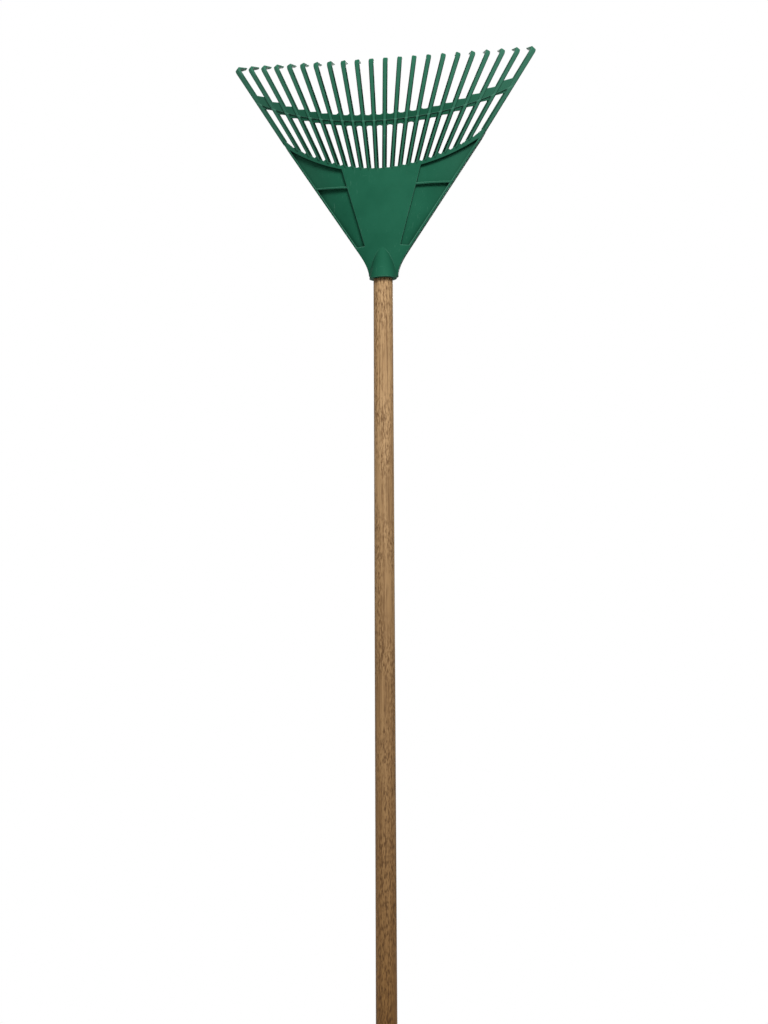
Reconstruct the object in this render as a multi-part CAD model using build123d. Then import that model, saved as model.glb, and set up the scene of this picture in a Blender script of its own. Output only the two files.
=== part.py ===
from build123d import *

import os
from math import asinh, cos, hypot, radians, sin, sqrt, tan

os.makedirs("parts", exist_ok=True)

# All sizes are in millimetres and degrees. Z runs up the handle from the point where its taper starts,
# X runs across the fan and the back of the rake faces -Y.

# Handle
handle_diameter = 25.0
handle_length = 1220.0
taper_length = 60.0
taper_end_diameter = 11.0
butt_chamfer = 3.0

# Fan: its back lies on a circular cone whose apex is on the handle axis
cone_half_angle = 45.0
fan_lean = 8.5
mouth_height = 4.0
apex_drop = 22.2
fan_length = 312.0
raking_angle = 60.0

# Tines: they stand at one pitch round the curve of the fan
tine_count = 22
tine_pitch = 19.05
tine_width = 6.3
edge_extra = 1.2
crest_rise = 0.9
crest_root_width = 1.8
crest_tip_width = 4.6
crest_slope = 1.5
tine_depth = 2.7
root_run = 3.0
root_squash = 0.7

# Hooks
hook_length = 17.5
hook_bend = 78.0
hook_bend_radius = 4.5
hook_end_scale = 0.45

# Sheet: heights run along the centre line of the fan from the apex, and its strip, slots and band
# follow parabolas whose radii are those at the centre line
panel_depth = 7.0
web_depth = 2.4
web_inset = 1.65
floor_depth = 4.2
wall = 2.8
shoulder_half_width = 18.9
shoulder_height = 37.8
shoulder_rise = 20.0
mouth_corner = 5.0
mouth_lean = 10.5
strip_height = 161.6
strip_width = 4.2
strip_radius = 166.0
slot_radius = 160.0
slot_clip = 6.5
slot_clip_share = 0.55
edge_inset = 1.9
band_height = 222.4
band_width = 13.2
band_radius = 263.0
band_lip = 5.6
band_lip_radius = 279.0
band_lip_depth = 1.4
band_level = 0.45
corner_setback = 5.2
sharpest_rounded_corner = 70.0

# Pockets either side of the centre panel
ledge_height = 65.8
centre_half_width = 23.1
centre_flare = 15.5
rim_width = 2.4
rib_height = 138.2
rib_rise = 7.3
rib_width = 2.2
hollow_height = 92.0

# Socket
seat_clearance = 0.1
socket_wall = 6.1
boss_height = 21.0
boss_wall = 4.6
boss_top = 37.0
boss_top_wall = 1.8
boss_steps = 3
socket_end_wall = 6.0
end_gap = 1.5

# Screw on the hidden side of the socket
screw_diameter = 4.0
screw_length = 16.0
screw_point = 3.0
screw_head_diameter = 7.5
screw_head_height = 2.4
screw_seat_depth = 1.0
screw_seat_clearance = 0.5
screw_clearance = 0.25
pilot_clearance = 0.05

lean = radians(fan_lean)
half_angle = radians(cone_half_angle)
cone_slope = tan(half_angle)
cone_axis = Vector(0, cos(half_angle), -sin(half_angle))
tip_slope = tan(radians(90 - raking_angle - fan_lean))
plan_reach = 0.25 * fan_length
mouth_run = apex_drop * cos(lean)
fan_plane = Plane(
    origin=(0, 0, mouth_height - apex_drop), x_dir=(1, 0, 0), z_dir=(0, -cos(lean), -sin(lean))
)
mouth_plane = Plane(origin=(0, 0, mouth_height)) * Rot(X=mouth_lean)


def polygon(points):
    return make_face(Polyline(*points, close=True))


def mirrored(points):
    # Right half of an outline, from bottom to top, closed with its mirror image
    return points + [(-x, y) for x, y in reversed(points)]


def plan_slope(run):
    # Slope of a parabola at a run along it, by Newton's method on its length
    slope = run
    for _ in range(6):
        length = (slope * hypot(1, slope) + asinh(slope)) / 2
        slope -= (length - run) / hypot(1, slope)
    return slope


def tip_point(slope):
    # Where a line of the cone, given by its slope in plan, meets the plane of the ground
    drop = slope**2 / (cone_slope + sqrt(cone_slope**2 + (cone_slope**2 - 1) * slope**2))
    return Vector(slope, 1, -drop) * (fan_length / (1 - tip_slope * drop))


def generator_plane(slope):
    # Frame on the line from the apex to a tip: Y along the line, Z out of the back of the fan
    along = tip_point(slope).normalized()
    outward = (along * cos(half_angle) - cone_axis) * (1 / sin(half_angle))
    return Plane(origin=(0, 0, 0), x_dir=along.cross(outward), z_dir=outward)


def above_arc(height, radius):
    # Area of the plan above an arc, whose parabola is a Bezier curve with its middle point below the arc
    rise = fan_length**2 / (2 * radius)
    left = (-fan_length, height + rise)
    right = (fan_length, height + rise)
    return make_face(Bezier(left, (0, height - rise), right) + Line(right, left))


def arc_reach(along, height, radius):
    # Distance from the apex to an arc of the plan, along a line of the cone
    slope = along.X / along.Y
    run = 2 * height / (1 + sqrt(1 - 2 * height * slope**2 / radius))
    return run / along.Y


def cone(level):
    # Solid cone whose surface lies at a level above the back of the fan
    height = 1.5 * fan_length * cos(half_angle)
    apex = cone_axis * (-level / sin(half_angle))
    base = Plane(origin=apex + cone_axis * height, z_dir=-cone_axis)
    solid = Cone(height * cone_slope, 0, height, align=(Align.CENTER, Align.CENTER, Align.MIN))
    return base * solid


def prism(face):
    return extrude(face, amount=plan_reach, both=True)


section_scale = fan_length * cone_slope
tine_runs = [(i - (tine_count - 1) / 2) * tine_pitch for i in range(tine_count)]
tine_slopes = [cone_slope * plan_slope(run / section_scale) for run in tine_runs]
outer_slope = tine_slopes[-1]
outer_along = tip_point(outer_slope).normalized()
strip_end = arc_reach(outer_along, strip_height, strip_radius) * outer_along
side_top = (strip_end.X + tine_width / 2 + edge_extra - edge_inset, strip_end.Y)
side_slope = (side_top[0] - shoulder_half_width) / (side_top[1] - shoulder_height)
sheet_top = arc_reach(outer_along, band_height + band_width, band_radius) * outer_along.Y


def side_x(y, inset=0.0):
    return shoulder_half_width + side_slope * (y - shoulder_height) - inset * sqrt(1 + side_slope**2)


def centre_x(y, inset=0.0):
    return centre_half_width + tan(radians(centre_flare)) * (y - ledge_height) - inset


def fan_outline():
    # Right half of the plan: the clipped corner of the mouth, a curved neck and the straight side
    neck_low = (shoulder_half_width, mouth_run + mouth_corner)
    neck_high = (side_x(shoulder_height + shoulder_rise), shoulder_height + shoulder_rise)
    neck = Bezier(neck_low, (shoulder_half_width, shoulder_height), neck_high)
    mouth = Polyline((0, mouth_run), (shoulder_half_width - mouth_corner, mouth_run), neck_low)
    side = Polyline(neck_high, side_top, (outer_slope * sheet_top, sheet_top), (0, sheet_top))
    half = mouth + neck + side
    return make_face(half + mirror(half, Plane.YZ))


def pocket():
    # Right-hand recess between the centre panel, the rim and the strip, split by its rib
    top = side_top[1]
    area = polygon(
        [
            (centre_x(ledge_height), ledge_height),
            (side_x(ledge_height, rim_width), ledge_height),
            (side_x(top, rim_width), top),
            (centre_x(top), top),
        ]
    )
    rise = tan(radians(rib_rise))
    reach = side_x(top)
    rib = polygon(
        [
            (0, rib_height),
            (reach, rib_height + rise * reach),
            (reach, rib_height + rise * reach + rib_width),
            (0, rib_height + rib_width),
        ]
    )
    return area - above_arc(strip_height, strip_radius) - rib


def hollow():
    # Recess behind the centre panel, which keeps the panel at one wall thickness
    top = strip_height + strip_width
    area = polygon(
        mirrored([(centre_x(hollow_height, wall), hollow_height), (centre_x(top, wall), top)])
    )
    return area - above_arc(strip_height - wall, strip_radius)


def corner_radius(before, corner, after):
    # Radius that takes one length off both sides of a corner, or none where the corner is sharp
    sides = [Vector(*end) - Vector(*corner) for end in (before, after)]
    angle = sides[0].get_angle(sides[1])
    if angle < sharpest_rounded_corner:
        return 0
    setback = min(corner_setback, *(0.48 * side.length for side in sides))
    return setback * tan(radians(angle) / 2)


def levelled(corners):
    # End of an opening at the crossband, turned from the band's arc towards square to the tines
    middle = sum(y for _, y in corners) / 2
    return [(x, y + band_level * (middle - y)) for x, y in corners]


def clipped(corners):
    # Bottom of a slot, whose lower and sharper corner is cut off square to the tines
    low, high = sorted(corners, key=lambda corner: corner[1])
    share = min(slot_clip_share, slot_clip / max(high[1] - low[1], tine_width))
    cut = (low[0] + share * (high[0] - low[0]), low[1] + share * (high[1] - low[1]))
    ends = [high, cut, (low[0], cut[1])]
    return ends if high[0] < low[0] else ends[::-1]


def opening(frame, points):
    # Cutter from an outline whose first two corners, at the crossband, are rounded
    radii = [corner_radius(points[i - 1], points[i], points[i + 1]) for i in range(2)]
    radii += [0] * (len(points) - 2)
    outline = make_face(FilletPolyline(*points, radius=radii, close=True))
    return frame * extrude(outline, amount=2 * panel_depth, both=True)


def openings(left, right):
    # Slot below the crossband and gap above it, between two neighbouring tines given by slope
    frame = generator_plane((left + right) / 2)
    offset = tine_width / 2 - web_inset
    arcs = [
        (strip_height + strip_width, slot_radius),
        (band_height, band_radius),
        (band_height + band_width, band_radius),
    ]
    rows = [[], [], [], []]
    for slope, side in ((left, offset), (right, -offset)):
        tip = tip_point(slope)
        along = tip.normalized()
        ends = [along * arc_reach(along, *arc) for arc in arcs] + [tip]
        for row, end in zip(rows, ends):
            place = frame.to_local_coords(end)
            row.append((place.X + side, place.Y))
    slot = opening(frame, levelled(rows[1])[::-1] + clipped(rows[0]))
    gap = opening(frame, levelled(rows[2]) + rows[3][::-1])
    return [slot, gap]


def sheet():
    # Panel, webs and crossband in one shell, then everything that is cut out of it
    outline = prism(fan_outline())
    blank = (outline & cone(0)) - cone(-panel_depth)
    above_strip = above_arc(strip_height + wall, strip_radius)
    lip = above_arc(band_height, band_radius) - above_arc(band_height + band_lip, band_lip_radius)
    right_pocket = prism(pocket()) - cone(-floor_depth)
    recesses = [
        prism(above_strip) & cone(-web_depth),
        prism(lip) - cone(-band_lip_depth),
        right_pocket,
        mirror(right_pocket, Plane.YZ),
        prism(hollow()) & cone(-wall),
    ]
    for recess in recesses:
        blank = blank - recess
    pairs = [openings(left, right) for left, right in zip(tine_slopes, tine_slopes[1:])]
    return blank - [slot for slot, _ in pairs] - [gap for _, gap in pairs]


def section(crest_width, side, squash=1.0):
    # Flat crest, sloping shoulders and upright sides of a tine, and the extra width of the outermost two
    slope_end = crest_rise - crest_slope * (tine_width - crest_width) / 2
    half = [
        (crest_width / 2, crest_rise),
        (tine_width / 2, max(slope_end, -0.9 * tine_depth)),
        (tine_width / 2, -tine_depth),
    ]
    widened = [(x + side * edge_extra if x * side > 0 else x, y) for x, y in mirrored(half)]
    return polygon([(x, (y + tine_depth) * squash - tine_depth) for x, y in widened])


def tine(slope):
    # Straight bar along its line of the cone, a bend and a tapered hook
    frame = generator_plane(slope)
    tip = tip_point(slope)
    side = (slope == tine_slopes[-1]) - (slope == tine_slopes[0])
    root = arc_reach(tip.normalized(), strip_height + strip_width, slot_radius) - root_run
    bend_level = -tine_depth - hook_bend_radius
    bar_end = tip.length - crest_rise + bend_level
    start = Plane.XZ.offset(-root) * section(crest_root_width, side, root_squash)
    full = Plane.XZ.offset(-root - root_run) * section(crest_root_width, side)
    end = Plane.XZ.offset(-bar_end) * section(crest_tip_width, side)
    bend_axis = Axis((0, bar_end, bend_level), (-1, 0, 0))
    bend = revolve(end, axis=bend_axis, revolution_arc=hook_bend)
    turned = end.rotate(bend_axis, hook_bend)
    along = Vector(0, 1, 0).rotate(bend_axis, hook_bend)
    point = turned.center() + along * hook_length
    hook_end = Pos(*point) * scale(Pos(*-turned.center()) * turned, hook_end_scale)
    bar = loft([start, full, end], ruled=True)
    return frame * (bar + bend + loft([turned, hook_end], ruled=True))


handle_radius = handle_diameter / 2
taper_end_radius = taper_end_diameter / 2
taper_slope = (handle_radius - taper_end_radius) / taper_length
butt_height = taper_length - handle_length


def handle():
    profile = polygon(
        [
            (0, butt_height),
            (handle_radius - butt_chamfer, butt_height),
            (handle_radius, butt_height + butt_chamfer),
            (handle_radius, 0),
            (taper_end_radius, taper_length),
            (0, taper_length),
        ]
    )
    return revolve(Plane.XZ * profile, Axis.Z)


def bore_radius(z):
    return handle_radius + seat_clearance - taper_slope * z


boss_z = mouth_height + boss_height
boss_radius = bore_radius(boss_z) + boss_wall


def socket():
    # Boss with an arch of a few cones over the handle's end, then a thin wall to the end of the bore
    low = -mouth_height
    top = mouth_height + boss_top
    high = taper_length + end_gap + socket_end_wall
    foot = (bore_radius(0) + socket_wall, low)
    crown = (bore_radius(top) + boss_top_wall, top)
    end = (bore_radius(high) + boss_top_wall, high)
    arch = ThreePointArc(foot, (boss_radius, boss_z), crown)
    steps = [arch @ (step / boss_steps) for step in range(boss_steps + 1)]
    return revolve(Plane.XZ * polygon([*steps, end, (0, high), (0, low)]), Axis.Z)


def bore():
    low = -mouth_height
    high = taper_length + end_gap
    profile = polygon([(0, low), (bore_radius(low), low), (bore_radius(high), high), (0, high)])
    return revolve(Plane.XZ * profile, Axis.Z)


screw_seat = boss_radius - screw_seat_depth
screw_plane = Plane(origin=(0, screw_seat, boss_z), x_dir=(1, 0, 0), z_dir=(0, 1, 0))


def cylinder(radius, low, high):
    return Pos(0, 0, low) * Cylinder(radius, high - low, align=(Align.CENTER, Align.CENTER, Align.MIN))


def screw():
    shank = screw_diameter / 2
    head = screw_head_diameter / 2
    profile = polygon(
        [
            (0, -screw_length),
            (shank, screw_point - screw_length),
            (shank, 0),
            (head, 0),
            (head, screw_head_height),
            (0, screw_head_height),
        ]
    )
    return screw_plane * revolve(Plane.XZ * profile, Axis.Z)


def screw_hole():
    seat = cylinder(screw_head_diameter / 2 + screw_seat_clearance, 0, socket_wall)
    return screw_plane * (cylinder(screw_diameter / 2 + screw_clearance, -socket_wall, 0) + seat)


def pilot_hole():
    return screw_plane * cylinder(screw_diameter / 2 + pilot_clearance, -screw_length, 0)


def rake_head():
    fan = sheet() + [tine(slope) for slope in tine_slopes]
    below_mouth = mouth_plane * Box(
        2 * fan_length, 2 * fan_length, fan_length, align=(Align.CENTER, Align.CENTER, Align.MAX)
    )
    return (fan_plane * fan + socket()) - [below_mouth, bore(), screw_hole()]


pieces = {
    "rake_head": rake_head(),
    "handle": handle() - pilot_hole(),
    "socket_screw": screw(),
}

for name, piece in pieces.items():
    export_step(piece, f"parts/{name}.step")
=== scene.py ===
from math import cos, pi, radians, sin, sqrt, tan

import bmesh
import bpy
from mathutils import Matrix, Vector


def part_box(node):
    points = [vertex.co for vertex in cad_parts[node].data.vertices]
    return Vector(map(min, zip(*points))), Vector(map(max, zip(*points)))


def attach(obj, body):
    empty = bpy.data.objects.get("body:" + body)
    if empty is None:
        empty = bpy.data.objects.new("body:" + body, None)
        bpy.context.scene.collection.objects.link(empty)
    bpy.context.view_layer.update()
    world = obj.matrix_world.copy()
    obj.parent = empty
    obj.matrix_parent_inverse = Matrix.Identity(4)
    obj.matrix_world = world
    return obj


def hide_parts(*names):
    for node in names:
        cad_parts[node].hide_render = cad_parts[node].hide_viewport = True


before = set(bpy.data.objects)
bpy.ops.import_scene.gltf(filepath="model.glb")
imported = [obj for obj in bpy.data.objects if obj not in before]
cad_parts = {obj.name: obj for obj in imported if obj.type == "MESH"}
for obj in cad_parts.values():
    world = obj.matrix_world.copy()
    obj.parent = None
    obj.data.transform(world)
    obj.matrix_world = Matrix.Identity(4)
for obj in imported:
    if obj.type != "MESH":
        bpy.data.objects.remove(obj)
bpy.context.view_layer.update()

# Lengths are in metres, in the part's own frame

# Camera: fitted to the tines and the handle
image_long_side = 1024
focal_pixels = 1200.0
sensor_size = 36.0
camera_place = Vector((0.1793, -1.4629, -0.5669))
camera_right = Vector((0.99244, 0.12268, -0.00456))
camera_up = Vector((0.02614, -0.17491, 0.98424))

# Light: a soft lamp high in front and to the right, one behind for the hidden side, and a surround that is
# brightest in front and above
lamp_aim = Vector((0.0, 0.0, 0.12))
key_place = Vector((0.44, -1.50, 0.95))
key_size = 0.6
key_power = 29.0
back_place = Vector((0.0, 1.60, 1.00))
back_size = 1.0
back_power = 48.0
surround_side = Vector((0.00, -0.81, 0.58))
surround_low = 0.30
surround_dim = 0.03
surround_bright = 0.72

# Fan: its back lies on a cone of 45 degrees whose apex is on the handle's axis
fan_lean = radians(8.5)
ground_lean = radians(21.5)
fan_apex = Vector((0.0, 0.0, -0.0182))
fan_along = Vector((0.0, -sin(fan_lean), cos(fan_lean)))
fan_out = Vector((0.0, -cos(fan_lean), -sin(fan_lean)))
cone_axis = (fan_along - fan_out) / sqrt(2)

# Reach: how far out on the fan a point lies, measured so that all the tine tips have the same reach
reach_axis = fan_along + tan(ground_lean) * fan_out
tines_from_reach = (0.155, 0.175)
hooks_from_reach = (0.298, 0.306)

# Crossband: heights are those at the centre line of parabolas with these radii there
band_low = 0.2224
band_high = 0.2356
band_radius = 0.263
lip_high = 0.2280
lip_radius = 0.279

# Colours, linear
plastic_green = (0.0170, 0.1270, 0.0710, 1.0)
plastic_deep = (0.0130, 0.1080, 0.0590, 1.0)
# Painted shade in corners, low in the pockets and on the band between the tines
plastic_painted_shade = (0.0040, 0.0400, 0.0200, 1.0)
# Painted shade on the tines' flanks
plastic_flank_shade = (0.0010, 0.0150, 0.0068, 1.0)
# Wear from scuffs, and painted highlights on the tips, edges, tines' crests and the band's lip
plastic_wear_and_highlight = (0.1000, 0.2700, 0.1900, 1.0)
wood_pale = (0.580, 0.365, 0.178, 1.0)
wood_tan = (0.430, 0.250, 0.108, 1.0)
wood_dark = (0.150, 0.073, 0.026, 1.0)
# Browner grip, partly painted shade where the light falls off down the handle
wood_grip_and_shade = (0.420, 0.330, 0.180, 1.0)
steel_grey = (0.400, 0.395, 0.375, 1.0)
steel_dull = (0.250, 0.243, 0.222, 1.0)
floor_pale = (0.860, 0.860, 0.850, 1.0)
white = (1.0, 1.0, 1.0, 1.0)

# Marks on a surface: scales of noise are per metre, a range runs from where a change starts to where it is
# complete, a share is how far a full mark takes the colour to its own, and a sky is how far open_sky looks
plain_detail = 2.0
rich_detail = 3.0
fine_detail = 4.0
bevel_samples = 6
sky_samples = 8

# Plastic: faint clouds and scuffs in patches
cloud_scale = 26.0
cloud_range = (0.35, 0.65)
scuff_along_scale = (520.0, 520.0, 9.0)
scuff_along_turn = (0.0, 0.05, 0.0)
scuff_along_range = (0.66, 0.76)
scuff_across_scale = (14.0, 430.0, 610.0)
scuff_across_turn = (0.0, 0.55, 0.0)
scuff_across_range = (0.70, 0.78)
scuff_patch_scale = 13.0
scuff_patch_range = (0.45, 0.62)
scuff_share = 0.50

# Plastic: paler towards the tips as painted light from above and paler towards the sides, with painted
# highlights and some wear along the edges, and painted highlights on the tines' ridges and on the band's
# lip
tip_range = (0.22, 0.33)
tip_share = 0.13
outer_range = (0.06, 0.16)
outer_share = 0.25
edge_radius = 0.0013
edge_range = (0.99, 0.91)
edge_sky = 0.005
edge_sky_range = (0.72, 0.92)
edge_panel_share = 0.90
edge_tine_share = 0.15
tines_from_height = (0.125, 0.165)
ridge_range = (0.0005, 0.0009)
ridge_share = 0.09
lip_edge_range = (0.0010, 0.0004)
lip_edge_share = 0.50

# Plastic: painted shade on the tines' flanks, in corners, low in the pockets and on the band between the
# tines
flank_range = (0.99, 0.70)
flank_side_range = (0.08, 0.15)
flank_middle_share = 0.97
flank_outer_share = 0.55
flank_on_panel = 0.25
corner_sky = 0.013
corner_range = (0.70, 0.30)
corner_share = 0.24
# Painted shade low in the sheltered pockets
shelter_shade_sky = 0.026
shelter_shade_range = (0.92, 0.55)
shelter_shade_heights = (0.112, 0.072)
shelter_shade_share = 0.35
band_blur = 0.001
web_range = (0.0006, 0.0002)
web_side_range = (0.05, 0.15)
web_middle_share = 0.55
web_outer_share = 0.10

# Plastic: matt finish with a fine grain
plastic_grain_scale = 1500.0
plastic_grain_depth = 0.00025
plastic_grain_strength = 0.12
plastic_finish_scale = 90.0
plastic_finish_range = (0.3, 0.7)
plastic_roughness = (0.55, 0.68)
plastic_specular = 0.03

# Wood: broad streaks, fine fibres, dark pores, a mottled figure in patches and a browner grip, darker
# towards the butt partly as painted shade where the light falls off
streak_scale = (260.0, 260.0, 3.2)
streak_range = (0.30, 0.70)
fibre_scale = (620.0, 620.0, 9.0)
fibre_range = (0.48, 0.62)
fibre_share = 0.55
pore_scale = (1300.0, 1300.0, 34.0)
pore_range = (0.58, 0.72)
pore_share = 0.75
patch_scale = (40.0, 40.0, 9.0)
patch_range = (0.34, 0.50)
figure_scale = (680.0, 680.0, 165.0)
dark_figure_range = (0.48, 0.66)
dark_figure_share = 0.85
light_figure_range = (0.48, 0.34)
light_figure_share = 0.80
grip_and_shade_heights = (-0.20, -0.92)
wood_finish_range = (0.3, 0.8)
wood_roughness = (0.58, 0.78)
wood_specular = 0.25
wood_grain_depth = 0.0004
wood_grain_strength = 0.35

# Steel: zinc plate with a dull bloom and fine marks
bloom_scale = 900.0
bloom_range = (0.40, 0.65)
steel_roughness = (0.42, 0.60)
steel_mark_scale = 2600.0
steel_mark_depth = 0.0001
steel_mark_strength = 0.2

# Floor: a disc under the butt that fades into the white surround
floor_radius = 1.2
floor_segments = 96
floor_fade_range = (0.45, 1.1)
floor_roughness = 0.9

# Screw: a pan head with a cross recess on a threaded shank
screw_head_height = 0.0024
screw_head_edge = 0.0011
screw_dome_steps = 6
screw_shank_radius = 0.002
screw_segments = 48
screw_point = 0.003
recess_width = 0.0011
recess_span = 0.0046
recess_depth = 0.0012
thread_pitch = 0.0016
thread_depth = 0.0005
weld_distance = 1e-7


def link(name, data):
    thing = bpy.data.objects.new(name, data)
    bpy.context.scene.collection.objects.link(thing)
    return thing


def mesh_from(name, shape):
    mesh = bpy.data.meshes.new(name)
    shape.to_mesh(mesh)
    shape.free()
    return mesh


class Surface:
    """Material whose nodes read its object's own frame, which is the part's frame for the CAD pieces"""

    def __init__(self, name):
        self.material = bpy.data.materials.new(name)
        self.material.use_nodes = True
        self.nodes = self.material.node_tree.nodes
        self.links = self.material.node_tree.links
        self.shader = self.nodes["Principled BSDF"]
        self.place = self.nodes.new("ShaderNodeTexCoord").outputs["Object"]

    def feed(self, socket, value):
        if isinstance(value, bpy.types.NodeSocket):
            self.links.new(value, socket)
        else:
            socket.default_value = value

    def set(self, name, value):
        self.feed(self.shader.inputs[name], value)

    def noise(self, scale, detail=plain_detail, vector=None):
        node = self.nodes.new("ShaderNodeTexNoise")
        self.feed(node.inputs["Vector"], vector or self.place)
        node.inputs["Scale"].default_value = scale
        node.inputs["Detail"].default_value = detail
        return node.outputs["Fac"]

    def stretched_noise(self, scale, detail=plain_detail, turn=(0.0, 0.0, 0.0)):
        node = self.nodes.new("ShaderNodeMapping")
        self.feed(node.inputs["Vector"], self.place)
        node.inputs["Rotation"].default_value = turn
        node.inputs["Scale"].default_value = scale
        return self.noise(1.0, detail, node.outputs["Vector"])

    def span(self, value, limits, start=0.0, end=1.0):
        # From start to end as the value goes through its limits, and level outside them
        node = self.nodes.new("ShaderNodeMapRange")
        self.feed(node.inputs["Value"], value)
        node.inputs["From Min"].default_value, node.inputs["From Max"].default_value = limits
        node.inputs["To Min"].default_value = start
        node.inputs["To Max"].default_value = end
        return node.outputs["Result"]

    def maths(self, operation, first, second=0.0):
        node = self.nodes.new("ShaderNodeMath")
        node.operation = operation
        self.feed(node.inputs[0], first)
        self.feed(node.inputs[1], second)
        return node.outputs["Value"]

    def product(self, first, *others):
        for other in others:
            first = self.maths("MULTIPLY", first, other)
        return first

    def vector(self, operation, first, second=None):
        node = self.nodes.new("ShaderNodeVectorMath")
        node.operation = operation
        self.feed(node.inputs[0], first)
        if second is not None:
            self.feed(node.inputs[1], second)
        return node.outputs["Value" if operation in ("DOT_PRODUCT", "LENGTH") else "Vector"]

    def mix(self, factor, first, second, mode="MIX"):
        node = self.nodes.new("ShaderNodeMix")
        node.data_type = "RGBA"
        node.blend_type = mode
        self.feed(node.inputs["Factor"], factor)
        self.feed(node.inputs["A"], first)
        self.feed(node.inputs["B"], second)
        return node.outputs["Result"]

    def marked(self, colour, marks):
        for mark, mark_colour in marks:
            colour = self.mix(mark, colour, mark_colour)
        return colour

    def axis(self, name):
        node = self.nodes.new("ShaderNodeSeparateXYZ")
        self.feed(node.inputs["Vector"], self.place)
        return node.outputs[name]

    def flat_normal(self):
        return self.nodes.new("ShaderNodeNewGeometry").outputs["True Normal"]

    def rounded_normal(self, radius):
        node = self.nodes.new("ShaderNodeBevel")
        node.samples = bevel_samples
        node.inputs["Radius"].default_value = radius
        return node.outputs["Normal"]

    def open_sky(self, distance):
        # One in the open, less where the piece itself stands in the way within a distance
        node = self.nodes.new("ShaderNodeAmbientOcclusion")
        node.only_local = True
        node.samples = sky_samples
        node.inputs["Distance"].default_value = distance
        return node.outputs["AO"]

    def bump(self, height, distance, strength, normal=None):
        node = self.nodes.new("ShaderNodeBump")
        self.feed(node.inputs["Height"], height)
        node.inputs["Distance"].default_value = distance
        node.inputs["Strength"].default_value = strength
        if normal:
            self.feed(node.inputs["Normal"], normal)
        return node.outputs["Normal"]


class FanSurface(Surface):
    """Surface that knows where a point lies on the fan's cone"""

    def __init__(self, name):
        super().__init__(name)
        self.height = self.axis("Z")
        self.across = self.axis("X")
        self.aside = self.maths("ABSOLUTE", self.across)
        self.from_apex = self.vector("SUBTRACT", self.place, fan_apex)

    def above_cone(self):
        # Height above the cone that the back of the fan lies on
        axial = self.vector("DOT_PRODUCT", self.from_apex, cone_axis)
        square = self.vector("DOT_PRODUCT", self.from_apex, self.from_apex)
        radial = self.maths("SQRT", self.maths("SUBTRACT", square, self.product(axial, axial)))
        return self.maths("DIVIDE", self.maths("SUBTRACT", radial, axial), sqrt(2))

    def arc_height(self, radius):
        # Height at which the parabola through a point crosses the centre line of the fan
        along = self.vector("DOT_PRODUCT", self.from_apex, fan_along)
        rise = self.maths("DIVIDE", self.product(self.across, self.across), 2 * radius)
        return self.maths("SUBTRACT", along, rise)

    def in_band(self):
        # One at the heights of the crossband and nought above and below them
        height = self.arc_height(band_radius)
        above_low = self.span(height, (band_low - band_blur, band_low + band_blur))
        below_high = self.span(height, (band_high + band_blur, band_high - band_blur))
        return self.product(above_low, below_high)

    def scuffs(self):
        # Fine scratches along and across the fan, in patches
        along = self.stretched_noise(scuff_along_scale, turn=scuff_along_turn)
        across = self.stretched_noise(scuff_across_scale, turn=scuff_across_turn)
        lines = self.maths(
            "MAXIMUM", self.span(along, scuff_along_range), self.span(across, scuff_across_range)
        )
        patches = self.span(self.noise(scuff_patch_scale, rich_detail), scuff_patch_range)
        return self.product(lines, patches, scuff_share)

    def flanks(self):
        # Painted shade on walls that stand across the cone, weaker on the panel and not on the hooks, which
        # leave the cone
        outward = self.vector("SUBTRACT", self.vector("NORMALIZE", self.from_apex), cone_axis * sqrt(2))
        facing = self.vector("DOT_PRODUCT", self.vector("NORMALIZE", outward), self.flat_normal())
        walls = self.span(self.maths("ABSOLUTE", facing), flank_range)
        reach = self.vector("DOT_PRODUCT", self.from_apex, reach_axis)
        before_hooks = self.span(reach, hooks_from_reach, 1.0, 0.0)
        on_tines = self.span(reach, tines_from_reach, flank_on_panel, 1.0)
        share = self.span(self.aside, flank_side_range, flank_middle_share, flank_outer_share)
        return self.product(walls, before_hooks, on_tines, share)

    def worn_and_lit_edges(self, normal):
        # Painted highlight with some wear on open edges, where the rounded normal leaves the flat one
        facing = self.vector("DOT_PRODUCT", normal, self.flat_normal())
        in_open = self.span(self.open_sky(edge_sky), edge_sky_range)
        share = self.span(self.height, tines_from_height, edge_panel_share, edge_tine_share)
        return self.product(self.span(facing, edge_range), in_open, share)

    def shelter_shade(self):
        # Painted shade in sheltered places low on the head, such as the low ends of the pockets
        sheltered = self.span(self.open_sky(shelter_shade_sky), shelter_shade_range, end=shelter_shade_share)
        return self.product(sheltered, self.span(self.height, shelter_shade_heights))

    def web(self, in_band, level):
        # Painted shade on the crossband between the tines, most of all near the middle
        share = self.span(self.aside, web_side_range, web_middle_share, web_outer_share)
        return self.product(in_band, self.span(level, web_range), share)

    def ridges(self, level):
        # Painted highlight along the flat crests of the tines
        crests = self.span(level, ridge_range, end=ridge_share)
        return self.product(crests, self.span(self.height, tines_from_height))

    def lip_edge(self, in_band):
        # Painted highlight as a line along the step between the crossband and its lip
        from_lip = self.maths("SUBTRACT", self.arc_height(lip_radius), lip_high)
        line = self.span(self.maths("ABSOLUTE", from_lip), lip_edge_range, end=lip_edge_share)
        return self.product(line, in_band)


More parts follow.
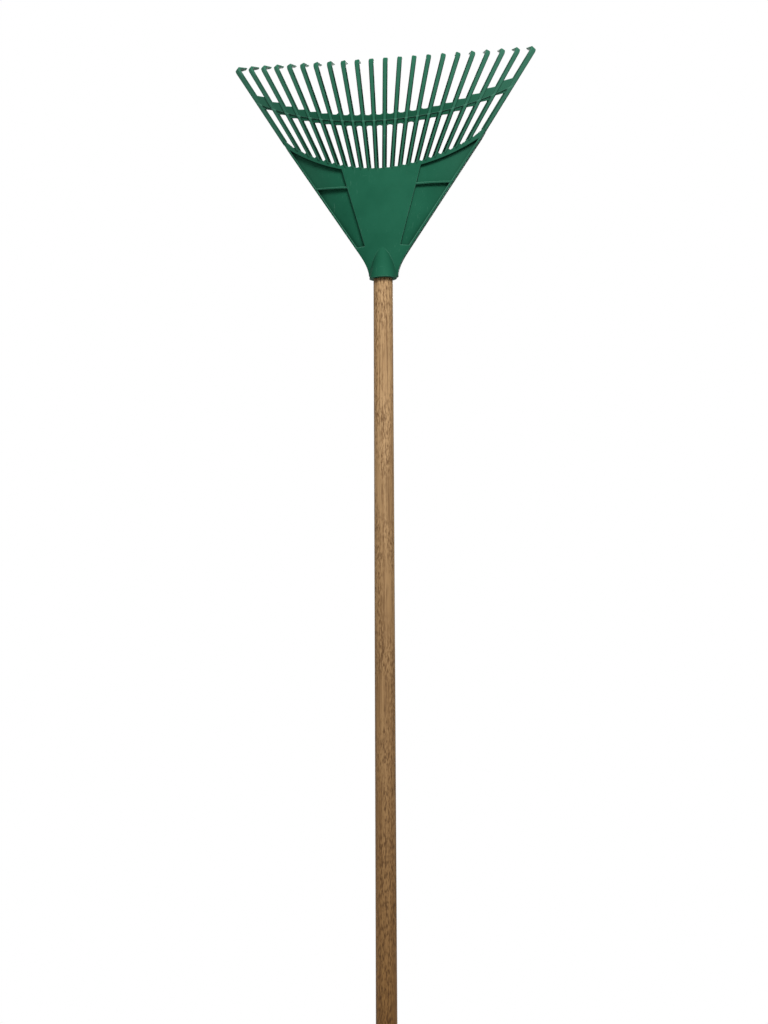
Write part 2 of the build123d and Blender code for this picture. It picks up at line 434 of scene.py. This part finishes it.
def green_plastic():
    # Matt moulding, pale where it is rubbed, with painted highlights on its tips, edges, crests and lip,
    # and painted shade on its flanks and where it is sheltered
    surface = FanSurface("green_plastic")
    normal = surface.rounded_normal(edge_radius)
    level = surface.above_cone()
    in_band = surface.in_band()
    clouds = surface.span(surface.noise(cloud_scale, fine_detail), cloud_range)
    marks = [
        (surface.scuffs(), plastic_wear_and_highlight),
        # Painted light, paler towards the tips where light falls from above
        (surface.span(surface.height, tip_range, end=tip_share), plastic_wear_and_highlight),
        (surface.span(surface.aside, outer_range, end=outer_share), plastic_wear_and_highlight),
        # Painted shade on the tines' flanks
        (surface.flanks(), plastic_flank_shade),
        (surface.worn_and_lit_edges(normal), plastic_wear_and_highlight),
        # Painted shade in corners, where the piece stands in the way of the light
        (surface.span(surface.open_sky(corner_sky), corner_range, end=corner_share), plastic_painted_shade),
        (surface.shelter_shade(), plastic_painted_shade),
        (surface.web(in_band, level), plastic_painted_shade),
        (surface.ridges(level), plastic_wear_and_highlight),
        (surface.lip_edge(in_band), plastic_wear_and_highlight),
    ]
    finish = surface.noise(plastic_finish_scale, rich_detail)
    grain = surface.noise(plastic_grain_scale)
    surface.set("Base Color", surface.marked(surface.mix(clouds, plastic_deep, plastic_green), marks))
    surface.set("Roughness", surface.span(finish, plastic_finish_range, *plastic_roughness))
    surface.set("Specular IOR Level", plastic_specular)
    surface.set("Normal", surface.bump(grain, plastic_grain_depth, plastic_grain_strength, normal))
    return surface.material


def handle_wood():
    # Turned stick, whose figure is darker and lighter than the wood around it
    surface = Surface("handle_wood")
    streaks = surface.span(surface.stretched_noise(streak_scale, rich_detail), streak_range)
    fibres = surface.stretched_noise(fibre_scale, fine_detail)
    pores = surface.span(surface.stretched_noise(pore_scale), pore_range)
    patches = surface.span(surface.stretched_noise(patch_scale), patch_range)
    figure = surface.stretched_noise(figure_scale)
    dark_figure = surface.product(surface.span(figure, dark_figure_range), patches, dark_figure_share)
    light_figure = surface.product(surface.span(figure, light_figure_range), patches, light_figure_share)
    marks = [
        (surface.span(fibres, fibre_range, end=fibre_share), wood_dark),
        (surface.product(pores, pore_share), wood_dark),
        (dark_figure, wood_dark),
        (light_figure, wood_pale),
    ]
    colour = surface.marked(surface.mix(streaks, wood_tan, wood_pale), marks)
    # Browner and darker towards the butt, partly grip wear and partly painted shade where the light falls
    # off down the handle
    grip_and_shade = surface.span(surface.axis("Z"), grip_and_shade_heights)
    grain = surface.maths("SUBTRACT", fibres, pores)
    surface.set("Base Color", surface.mix(grip_and_shade, colour, wood_grip_and_shade, "MULTIPLY"))
    surface.set("Roughness", surface.span(fibres, wood_finish_range, *wood_roughness))
    surface.set("Specular IOR Level", wood_specular)
    surface.set("Normal", surface.bump(grain, wood_grain_depth, wood_grain_strength))
    return surface.material


def screw_steel():
    surface = Surface("screw_steel")
    bloom = surface.span(surface.noise(bloom_scale, fine_detail), bloom_range)
    grain = surface.noise(steel_mark_scale)
    surface.set("Base Color", surface.mix(bloom, steel_grey, steel_dull))
    surface.set("Metallic", 1.0)
    surface.set("Roughness", surface.span(bloom, (0.0, 1.0), *steel_roughness))
    surface.set("Normal", surface.bump(grain, steel_mark_depth, steel_mark_strength))
    return surface.material


def floor_surface():
    # Pale in the middle and clear towards the rim
    surface = Surface("floor")
    surface.set("Base Color", floor_pale)
    surface.set("Roughness", floor_roughness)
    clear = surface.nodes.new("ShaderNodeBsdfTransparent")
    mix = surface.nodes.new("ShaderNodeMixShader")
    surface.feed(mix.inputs["Fac"], surface.span(surface.vector("LENGTH", surface.place), floor_fade_range))
    surface.links.new(surface.shader.outputs["BSDF"], mix.inputs[1])
    surface.links.new(clear.outputs["BSDF"], mix.inputs[2])
    surface.links.new(mix.outputs["Shader"], surface.nodes["Material Output"].inputs["Surface"])
    return surface.material


def dress(shown, material):
    shown.data.materials.clear()
    shown.data.materials.append(material)


def screw_profile(head_radius, length):
    # Domed head down to its edge, then thread crests and roots down to the point
    dome = screw_head_height - screw_head_edge
    root_radius = screw_shank_radius - thread_depth
    profile = []
    for step in range(screw_dome_steps + 1):
        angle = step / screw_dome_steps * pi / 2
        profile.append((head_radius * sin(angle), screw_head_edge + dome * cos(angle)))
    profile += [(head_radius, 0.0), (screw_shank_radius, 0.0)]
    for turn in range(int((length - screw_point) / thread_pitch)):
        level = -(turn + 0.5) * thread_pitch
        profile += [(screw_shank_radius, level), (root_radius, level - thread_pitch / 2)]
    profile.append((0.0, -length))
    return profile


def cut_recess(screw):
    # Two crossed slots cut down into the head
    size = Matrix.Diagonal((recess_span, recess_width, 2 * recess_depth, 1.0))
    top = Matrix.Translation((0.0, 0.0, screw_head_height))
    cutters = []
    for turn in (0.0, pi / 2):
        shape = bmesh.new()
        bmesh.ops.create_cube(shape, size=1.0, matrix=top @ Matrix.Rotation(turn, 4, "Z") @ size)
        cutter = link("recess", mesh_from("recess", shape))
        screw.modifiers.new("recess", "BOOLEAN").object = cutter
        cutters.append(cutter)
    bpy.context.view_layer.update()
    shown = screw.evaluated_get(bpy.context.evaluated_depsgraph_get())
    recessed = bpy.data.meshes.new_from_object(shown)
    screw.modifiers.clear()
    screw.data = recessed
    for cutter in cutters:
        bpy.data.objects.remove(cutter)


def add_screw(material):
    # Profile turned about the screw's axis, with a cross cut into its domed head
    low, high = (Vector(corner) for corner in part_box("socket_screw"))
    profile = screw_profile((high.x - low.x) / 2, high.y - low.y - screw_head_height)
    shape = bmesh.new()
    rim = [shape.verts.new((radius, 0.0, level)) for radius, level in profile]
    edges = [shape.edges.new(pair) for pair in zip(rim, rim[1:])]
    bmesh.ops.spin(
        shape, geom=rim + edges, cent=(0, 0, 0), axis=(0, 0, 1), angle=2 * pi, steps=screw_segments
    )
    bmesh.ops.remove_doubles(shape, verts=shape.verts, dist=weld_distance)
    bmesh.ops.recalc_face_normals(shape, faces=shape.faces)
    screw = link("pan_head_screw", mesh_from("pan_head_screw", shape))
    cut_recess(screw)
    middle = (low + high) / 2
    seat = Vector((middle.x, high.y - screw_head_height, middle.z))
    screw.matrix_world = Matrix.Translation(seat) @ Matrix.Rotation(-pi / 2, 4, "X")
    dress(screw, material)
    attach(screw, "root")
    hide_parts("socket_screw")


def add_lamp(name, place, size, power):
    data = bpy.data.lights.new(name, "AREA")
    data.size = size
    data.energy = power
    lamp = link(name, data)
    turn = (lamp_aim - place).to_track_quat("-Z", "Y")
    lamp.matrix_world = Matrix.Translation(place) @ turn.to_matrix().to_4x4()


def add_floor():
    shape = bmesh.new()
    bmesh.ops.create_circle(shape, cap_ends=True, segments=floor_segments, radius=floor_radius)
    floor = link("floor", mesh_from("floor", shape))
    floor.location.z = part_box("handle")[0][2]
    dress(floor, floor_surface())


def add_camera():
    data = bpy.data.cameras.new("camera")
    data.sensor_width = sensor_size
    data.lens = focal_pixels / image_long_side * sensor_size
    camera = link("camera", data)
    back = camera_right.cross(camera_up)
    turn = Matrix((camera_right, camera_up, back)).transposed()
    camera.matrix_world = Matrix.Translation(camera_place) @ turn.to_4x4()
    bpy.context.scene.camera = camera


def add_surround():
    # Soft light on the object, seen as plain white by the camera, in gloss and through glass
    world = bpy.data.worlds.new("surround")
    bpy.context.scene.world = world
    world.use_nodes = True
    nodes = world.node_tree.nodes
    links = world.node_tree.links
    facing = nodes.new("ShaderNodeVectorMath")
    facing.operation = "DOT_PRODUCT"
    links.new(nodes.new("ShaderNodeTexCoord").outputs["Generated"], facing.inputs[0])
    facing.inputs[1].default_value = surround_side
    strength = nodes.new("ShaderNodeMapRange")
    links.new(facing.outputs["Value"], strength.inputs["Value"])
    strength.inputs["From Min"].default_value = surround_low
    strength.inputs["To Min"].default_value = surround_dim
    strength.inputs["To Max"].default_value = surround_bright
    light = nodes["Background"]
    light.inputs["Color"].default_value = white
    links.new(strength.outputs["Result"], light.inputs["Strength"])
    seen = nodes.new("ShaderNodeBackground")
    seen.inputs["Color"].default_value = white
    seen.inputs["Strength"].default_value = 1.0
    path = nodes.new("ShaderNodeLightPath")
    shown = path.outputs["Is Camera Ray"]
    for ray in ("Is Glossy Ray", "Is Transmission Ray"):
        either = nodes.new("ShaderNodeMath")
        either.operation = "MAXIMUM"
        links.new(shown, either.inputs[0])
        links.new(path.outputs[ray], either.inputs[1])
        shown = either.outputs["Value"]
    mix = nodes.new("ShaderNodeMixShader")
    links.new(shown, mix.inputs["Fac"])
    links.new(light.outputs["Background"], mix.inputs[1])
    links.new(seen.outputs["Background"], mix.inputs[2])
    links.new(mix.outputs["Shader"], nodes["World Output"].inputs["Surface"])


dress(bpy.data.objects["rake_head"], green_plastic())
dress(bpy.data.objects["handle"], handle_wood())
steel = screw_steel()
dress(bpy.data.objects["socket_screw"], steel)
add_screw(steel)
add_camera()
add_lamp("key", key_place, key_size, key_power)
add_lamp("back", back_place, back_size, back_power)
add_surround()
add_floor()
bpy.context.scene.view_settings.view_transform = "Standard"
